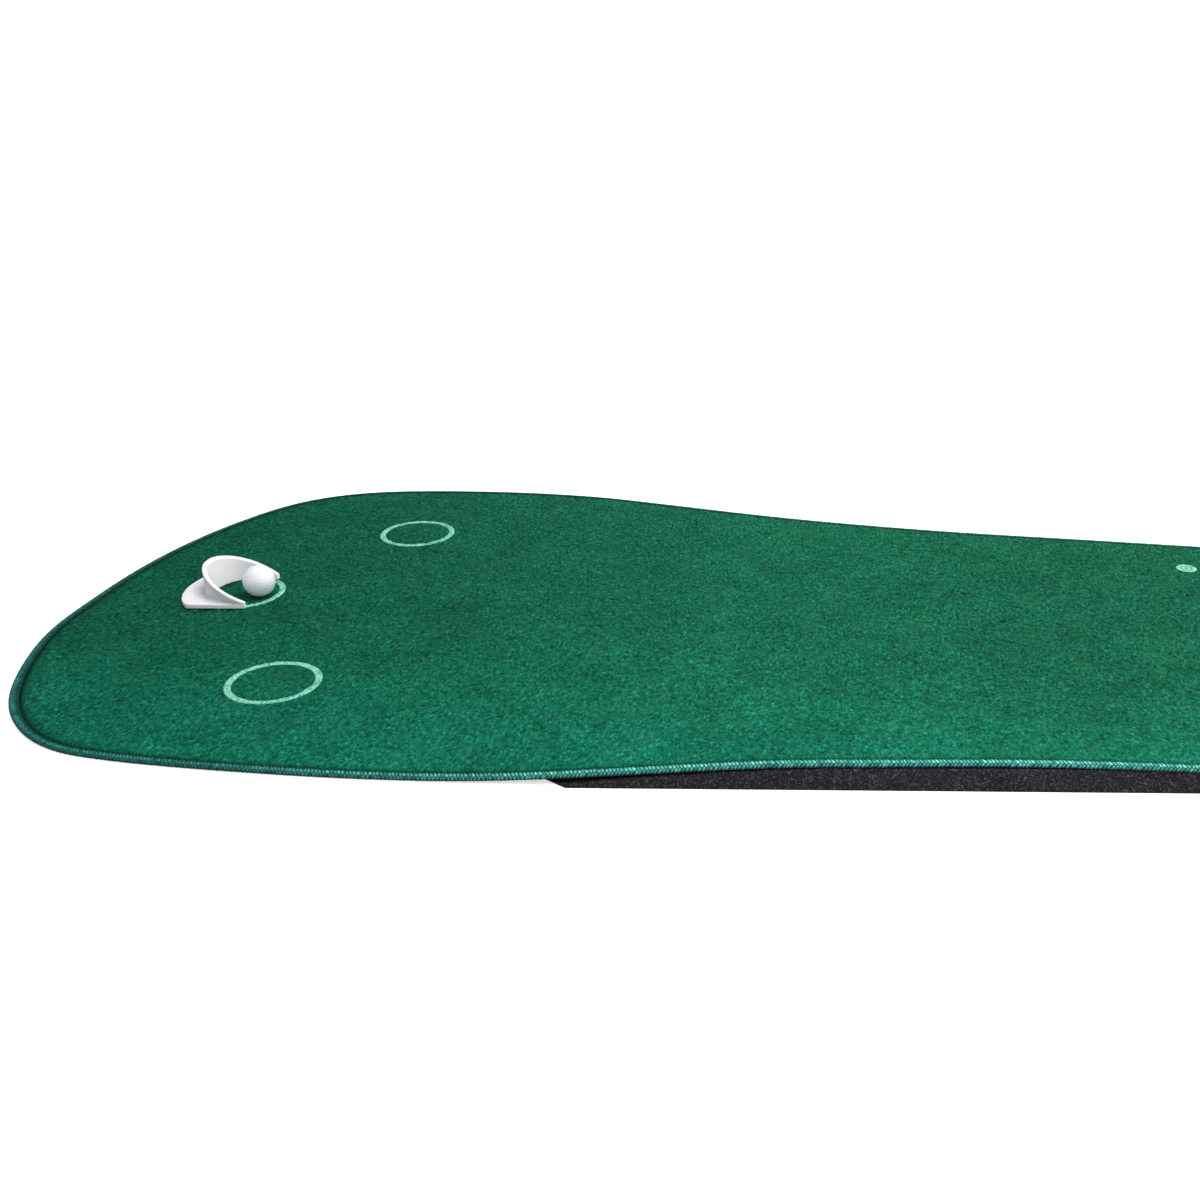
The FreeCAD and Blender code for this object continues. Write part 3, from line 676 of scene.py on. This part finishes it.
# yarns run up to a chain of locked loops along the crown and lean away from it
apex = math.radians(39)
lean = np.abs((phi - apex + math.pi) % (2 * math.pi) - math.pi)
slip = gen.normal(0, 0.10, turns)[(np.arange(count) // per)][:, None]
other = smooth01((np.degrees(phi) - 33) / 12.0)[None, :]     # the second row sits half a stitch on
yarn = np.abs(np.sin(math.pi * (phase + slip + 0.40 * lean[None, :] + 0.5 * other))) ** 0.8
chain = np.exp(-((phi - apex) / math.radians(7)) ** 2)[None, :]
pull = gen.uniform(0.70, 1.0, turns)[(np.arange(count) // per)][:, None]
pull = np.where(phi[None, :] > apex, pull, np.roll(pull, 7 * per, 0))
yarn = yarn * (1 - 0.45 * chain) * pull
wobble = gen.normal(0, 0.05, (count, 1))
grow = (yarn - 0.55) * 0.7 + wobble
half_w, half_h = 4.0, 3.45
spread = wide(p)[:, None] / 2
off = shape[None, :] * c[None, :] * (half_w + grow + spread)
high_off = shape[None, :] * s[None, :] * (half_h + grow)
centre = p + n * (4.1 + spread)
base = lift(p + n * 4.0)
x = centre[:, 0:1] - n[:, 0:1] * off
y = centre[:, 1:2] - n[:, 1:2] * off
z = np.maximum(3.55 + high_off, 0.06) + base[:, None]
verts = np.stack([x, y, z], -1).reshape(-1, 3)
i = np.arange(count)[:, None] * SIDE
j = np.arange(SIDE)[None, :]
a_ = (i + j).ravel()
b_ = (i + (j + 1) % SIDE).ravel()
c_ = (((np.arange(count)[:, None] + 1) % count) * SIDE + (j + 1) % SIDE).ravel()
d_ = (((np.arange(count)[:, None] + 1) % count) * SIDE + j).ravel()
lit = np.interp(round_deg, [-88, -40, -22, -8, 6, 33, 44, 74, 86, 100, 116, 134, 155, 182, 242],
                [0.0, 0.06, 0.18, 0.40, 0.62, 0.84, 1.0, 1.0, 0.95, 0.74, 0.50, 0.32, 0.20, 0.10, 0.0])
bind = make_mesh("overlock_binding", verts, np.c_[a_, d_, c_, b_])
store(bind, "crest", yarn.ravel())
store(bind, "lit", np.tile(lit, count))
give(bind, BINDING)
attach(bind, "mat")
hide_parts("edge_binding")

# lock stitches along the inner shoulder of the binding
stitch_count = int(PERIMETER / 6.4)
sp, sn, sat = edge_at(stitch_count, 0.5)
st = np.c_[sn[:, 1], -sn[:, 0]]
rings_, around = 6, 6
verts, faces = [], []
for k in range(stitch_count):
    cpt = sp[k] + sn[k] * (7.1 + float(wide(sp[k:k + 1])[0]))
    zed = float(lift(cpt[None])[0])
    start = len(verts)
    for m_ in range(rings_):
        u = -1 + 2 * m_ / (rings_ - 1)
        rad = 0.55 * math.sqrt(max(0.04, 1 - abs(u) ** 3.0))
        sag = 0.7 * (1 - u * u)
        for w in range(around):
            ang = 2 * math.pi * w / around
            side = rad * math.cos(ang)
            verts.append((cpt[0] + st[k, 0] * u * 2.5 + sn[k, 0] * side,
                          cpt[1] + st[k, 1] * u * 2.5 + sn[k, 1] * side,
                          6.15 + zed + sag + rad * math.sin(ang)))
    for m_ in range(rings_ - 1):
        for w in range(around):
            q = start + m_ * around + w
            q2 = start + m_ * around + (w + 1) % around
            faces.append((q, q2, q2 + around, q + around))
    faces.append(tuple(start + w for w in reversed(range(around))))
    faces.append(tuple(start + (rings_ - 1) * around + w for w in range(around)))
stitches = make_mesh("lock_stitches", verts, faces)
give(stitches, THREAD)
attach(stitches, "mat")
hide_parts("binding_stitching")
give(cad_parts["primary_backing"], CLOTH)

# ------------------------------------------------------------------ foam wedge
at_s = np.array([-25.0, 0, 40, 85, 140, 200, 262, 330])
high_s = np.array([2.0, 3.8, 8.7, 13.6, 18.7, 22.8, 25.2, 25.4])
stations = np.r_[np.linspace(-25, 0, 8), np.arange(3, FOAM_LONG, 3.0), np.linspace(FOAM_LONG, FOAM_LONG + 25, 8)]
from_end = np.minimum(stations, FOAM_LONG - stations)
height = np.interp(from_end, at_s, high_s)
set_in = np.where(from_end < 0, -from_end / 25 * 19, 0)
front_n, top_n, back_n, low_n = 12, 46, 3, 20
verts = []
row = None
for k, stn in enumerate(stations):
    hgt, t0 = height[k], set_in[k]
    front = hgt * (1 - t0 / FOAM_DEEP)
    t1 = FOAM_DEEP * (1 - 0.8 / FOAM_HIGH)
    back = max(0.4, 0.8 * hgt / FOAM_HIGH)
    rr = min(1.6, front * 0.35)
    a = np.linspace(0, math.pi / 2, 4)
    pts = []
    pts += [(t0 + rr * 0.5 * (1 - math.sin(q)), 0.02 + rr * 0.5 * (1 - math.cos(q))) for q in a]       # lower front edge
    pts += [(t0, zz) for zz in np.linspace(rr * 0.5, front - rr, front_n)[1:-1]]
    pts += [(t0 + rr * (1 - math.cos(q)), front - rr + rr * math.sin(q)) for q in a]
    u = np.linspace(0, 1, top_n)[1:]
    start_t = t0 + rr
    pts += [(start_t + (t1 - start_t) * q, front + (back - front) * q) for q in u]
    pts += [(t1, back * 0.5)]
    pts += [(t1 + (t0 + 2 - t1) * q, 0.02) for q in np.linspace(0, 1, low_n)[:-1]]
    if row is None:
        row = len(pts)
    for t, zz in pts:
        xy = FOAM_AT + FOAM_DIR * stn + FOAM_IN * t
        verts.append((xy[0], xy[1], zz))
verts = np.array(verts)
rows_ = len(stations)
i = np.arange(rows_ - 1)[:, None] * row
j = np.arange(row)[None, :]
a_, b_ = (i + j).ravel(), (i + (j + 1) % row).ravel()
faces = [tuple(f) for f in np.c_[a_, b_, b_ + row, a_ + row]]
faces.append(tuple(range(row))[::-1])
faces.append(tuple((rows_ - 1) * row + np.arange(row)))
rel = verts[:, :2] - FOAM_AT
t_in = rel @ FOAM_IN
cells = np.random.default_rng(8).uniform(-1, 1, len(verts))
verts[:, 2] += np.where((verts[:, 2] > 1.0), 0.10 * cells, 0.0)
face_move = np.where((t_in < 2.5) & (verts[:, 2] > 0.6), np.random.default_rng(9).uniform(-0.32, 0.1, len(verts)), 0)
verts[:, :2] -= FOAM_IN[None, :] * face_move[:, None]
wedge = make_mesh("foam_wedge_block", verts, faces)
give(wedge, WEDGE)
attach(wedge, "wedge")
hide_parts("foam_wedge")

# ------------------------------------------------------------------ ball stop
stop_lo, stop_hi = box_mm("ball_stop")
mid_ring = RINGS["target_ring_middle"]
cup = np.array([mid_ring[0] + 11.5, mid_ring[1] - 1.8, stop_lo[2]])
CUP_R, PLATE = 56.4, 7.0
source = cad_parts["ball_stop"].data
bm = bmesh.new()
bm.from_mesh(source)
# a small concave web where the wall stands on the tail plate, kept inside the flanks
steps, arcs = 80, 8
web = []
for k in range(steps + 1):
    ang = math.radians(180 - 78 + 156 * k / steps)
    room = (56.77 - 0.8) / (0.1121 * math.cos(ang) + 0.9937 * abs(math.sin(ang))) - CUP_R
    r_web = min(3.6, max(0.02, 0.8 * room))
    ring_pts = [(CUP_R - 2.5, PLATE - 2.0)]
    ring_pts.append((CUP_R - 2.5, PLATE + r_web))
    for q in np.linspace(0, math.pi / 2, arcs):
        ring_pts.append((CUP_R + r_web * (1 - math.cos(q)), PLATE + r_web * (1 - math.sin(q))))
    ring_pts.append((CUP_R + r_web, PLATE - 2.0))
    web.append([bm.verts.new(((cup[0] + r * math.cos(ang)) * MM, (cup[1] + r * math.sin(ang)) * MM,
                              (cup[2] + zz) * MM)) for r, zz in ring_pts])
for k in range(steps):
    m_ = len(web[k])
    for w in range(m_):
        bm.faces.new((web[k][w], web[k][(w + 1) % m_], web[k + 1][(w + 1) % m_], web[k + 1][w]))
bm.faces.new(web[0][::-1])
bm.faces.new(web[-1])
bmesh.ops.recalc_face_normals(bm, faces=bm.faces)
mesh = bpy.data.meshes.new("ball_stop_shell")
bm.to_mesh(mesh)
bm.free()
shell = bpy.data.objects.new("ball_stop_shell", mesh)
bpy.context.scene.collection.objects.link(shell)
remesh = shell.modifiers.new("voxels", "REMESH")
remesh.mode = "VOXEL"
remesh.voxel_size = 0.0008
remesh.use_smooth_shade = True
soften = shell.modifiers.new("soften", "SMOOTH")
soften.factor = 0.5
soften.iterations = 8
dg = bpy.context.evaluated_depsgraph_get()
done = bpy.data.meshes.new_from_object(shell.evaluated_get(dg), depsgraph=dg)
shell.modifiers.clear()
shell.data = done
done.polygons.foreach_set("use_smooth", [True] * len(done.polygons))
co = np.empty(len(done.vertices) * 3)
done.vertices.foreach_get("co", co)
co = co.reshape(-1, 3) / MM - cup
gap = np.hypot(co[:, 0], co[:, 1]) - CUP_R
hollow = np.where(gap > -1.2, np.exp(-np.maximum(0, gap) / 6.5) * np.exp(-np.maximum(0, co[:, 2] - PLATE) / 15.0), 0.0)
hollow *= smooth01((co[:, 2] - 6.3) / 0.9)
store(shell, "hollow", hollow)
give(shell, STOP)
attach(shell, "stop")
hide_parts("ball_stop")

# ------------------------------------------------------------------ ball
ball_lo, ball_hi = box_mm("ball_cover")
ball_c, ball_r = (ball_lo + ball_hi) / 2, 21.335
bm = bmesh.new()
bmesh.ops.create_icosphere(bm, subdivisions=6, radius=1.0)
mesh = bpy.data.meshes.new("dimpled_ball")
bm.to_mesh(mesh)
bm.free()
unit = np.empty(len(mesh.vertices) * 3)
mesh.vertices.foreach_get("co", unit)
unit = unit.reshape(-1, 3)
unit /= np.linalg.norm(unit, axis=1)[:, None]
count = 332
k = np.arange(count) + 0.5
polar, golden = np.arccos(1 - 2 * k / count), math.pi * (1 + 5 ** 0.5) * k
dimples = np.c_[np.cos(golden) * np.sin(polar), np.sin(golden) * np.sin(polar), np.cos(polar)]
near = np.full(len(unit), -1.0)
for part in np.array_split(np.arange(len(unit)), 40):
    near[part] = (unit[part] @ dimples.T).max(1)
away = np.arccos(np.clip(near, -1, 1)) * ball_r
dish = smooth01(1 - away / 1.95)
spin = Matrix.Rotation(0.7, 3, "X") @ Matrix.Rotation(0.4, 3, "Z")
body = unit @ np.array(spin).T
co = (ball_c + body * (ball_r - 0.26 * dish)[:, None]) * MM
mesh.vertices.foreach_set("co", co.ravel())
mesh.update()
mesh.polygons.foreach_set("use_smooth", [True] * len(mesh.polygons))
ball = bpy.data.objects.new("dimpled_ball", mesh)
bpy.context.scene.collection.objects.link(ball)
store(ball, "dimple", dish)
give(ball, BALL)
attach(ball, "ball")
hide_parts("ball_cover")
give(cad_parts["ball_core"], CORE)

# ------------------------------------------------------------------ studio
floor = make_mesh("studio_floor", [(-30000, -30000, 0), (30000, -30000, 0), (30000, 30000, 0), (-30000, 30000, 0)],
                  [(0, 1, 2, 3)])
floor_mat = Nodes("floor_white")
floor_mat.set(Base_Color=floor_mat.ramp(floor_mat.noise(2.0, 2.0), [(0.3, (0.92, 0.92, 0.92)), (0.7, (0.94, 0.94, 0.94))]),
              Roughness=0.9)
floor_mat.bsdf.inputs["Specular IOR Level"].default_value = 0.1
# the camera sees the pale floor a little brighter than the object is lit by it
eye = floor_mat.tree.nodes.new("ShaderNodeLightPath").outputs["Is Camera Ray"]
floor_mat.bsdf.inputs["Emission Color"].default_value = (1, 1, 1, 1)
floor_mat.put(floor_mat.bsdf.inputs["Emission Strength"], floor_mat.math("MULTIPLY", eye, 0.62))
give(floor, floor_mat.mat)

world = bpy.data.worlds.new("studio")
bpy.context.scene.world = world
world.use_nodes = True
wt = world.node_tree
sky = wt.nodes["Background"]
path = wt.nodes.new("ShaderNodeLightPath").outputs["Is Camera Ray"]
tint = wt.nodes.new("ShaderNodeMix")
tint.data_type = "RGBA"
tint.inputs[6].default_value = (0.490, 0.502, 0.540, 1)
tint.inputs[7].default_value = (1.0, 1.0, 1.0, 1)
wt.links.new(path, tint.inputs[0])
wt.links.new(tint.outputs[2], sky.inputs[0])
sky.inputs[1].default_value = 1.0


def area(name, at, target, size, power):
    lamp = bpy.data.lights.new(name, "AREA")
    lamp.shape = "DISK"
    lamp.size = size
    lamp.energy = power
    lamp.color = (1.0, 0.985, 0.955)
    obj = bpy.data.objects.new(name, lamp)
    bpy.context.scene.collection.objects.link(obj)
    obj.location = at
    obj.rotation_mode = "QUATERNION"
    obj.rotation_quaternion = (Vector(target) - Vector(at)).to_track_quat("-Z", "Y")
    obj.visible_camera = False
    return obj


area("overhead", (0.0, -0.15, 2.6), (-0.2, -0.1, 0.0), 1.5, 49)
area("key", (2.1, 1.5, 2.2), (-0.3, 0.0, 0.0), 0.7, 43)
area("front", (0.35, -1.0, 1.25), (0.2, -0.25, 0.0), 0.8, 12)

# camera: the photograph's standing view, with the lens shifted as a cropped frame is
cam_data = bpy.data.cameras.new("camera")
cam = bpy.data.objects.new("camera", cam_data)
bpy.context.scene.collection.objects.link(cam)
right = Vector((0.99184, 0.12751, 0.0))
pitch = math.radians(23.06)
forward = Vector((-0.12751 * math.cos(pitch), 0.99184 * math.cos(pitch), -math.sin(pitch)))
up = right.cross(forward)
turn = Matrix((right, up, -forward)).transposed()
cam.rotation_mode = "QUATERNION"
cam.rotation_quaternion = turn.to_quaternion()
cam.location = (-0.3411, -1.5561, 0.6928)
cam_data.sensor_width = 36.0
cam_data.lens = 1306.4 / 1200 * 36.0
cam_data.clip_start, cam_data.clip_end = 0.05, 200
# the lens shift belongs to this viewpoint only
drive = cam_data.driver_add("shift_x").driver
drive.type = "SCRIPTED"
var = drive.variables.new()
var.name = "high"
var.type = "TRANSFORMS"
var.targets[0].id = cam
var.targets[0].transform_type = "LOC_Z"
var.targets[0].transform_space = "WORLD_SPACE"
drive.expression = "-0.0909 if abs(high - 0.6928) < 0.0005 else 0.0"
bpy.context.scene.camera = cam
bpy.context.scene.view_settings.view_transform = "Standard"
bpy.context.scene.view_settings.look = "None"
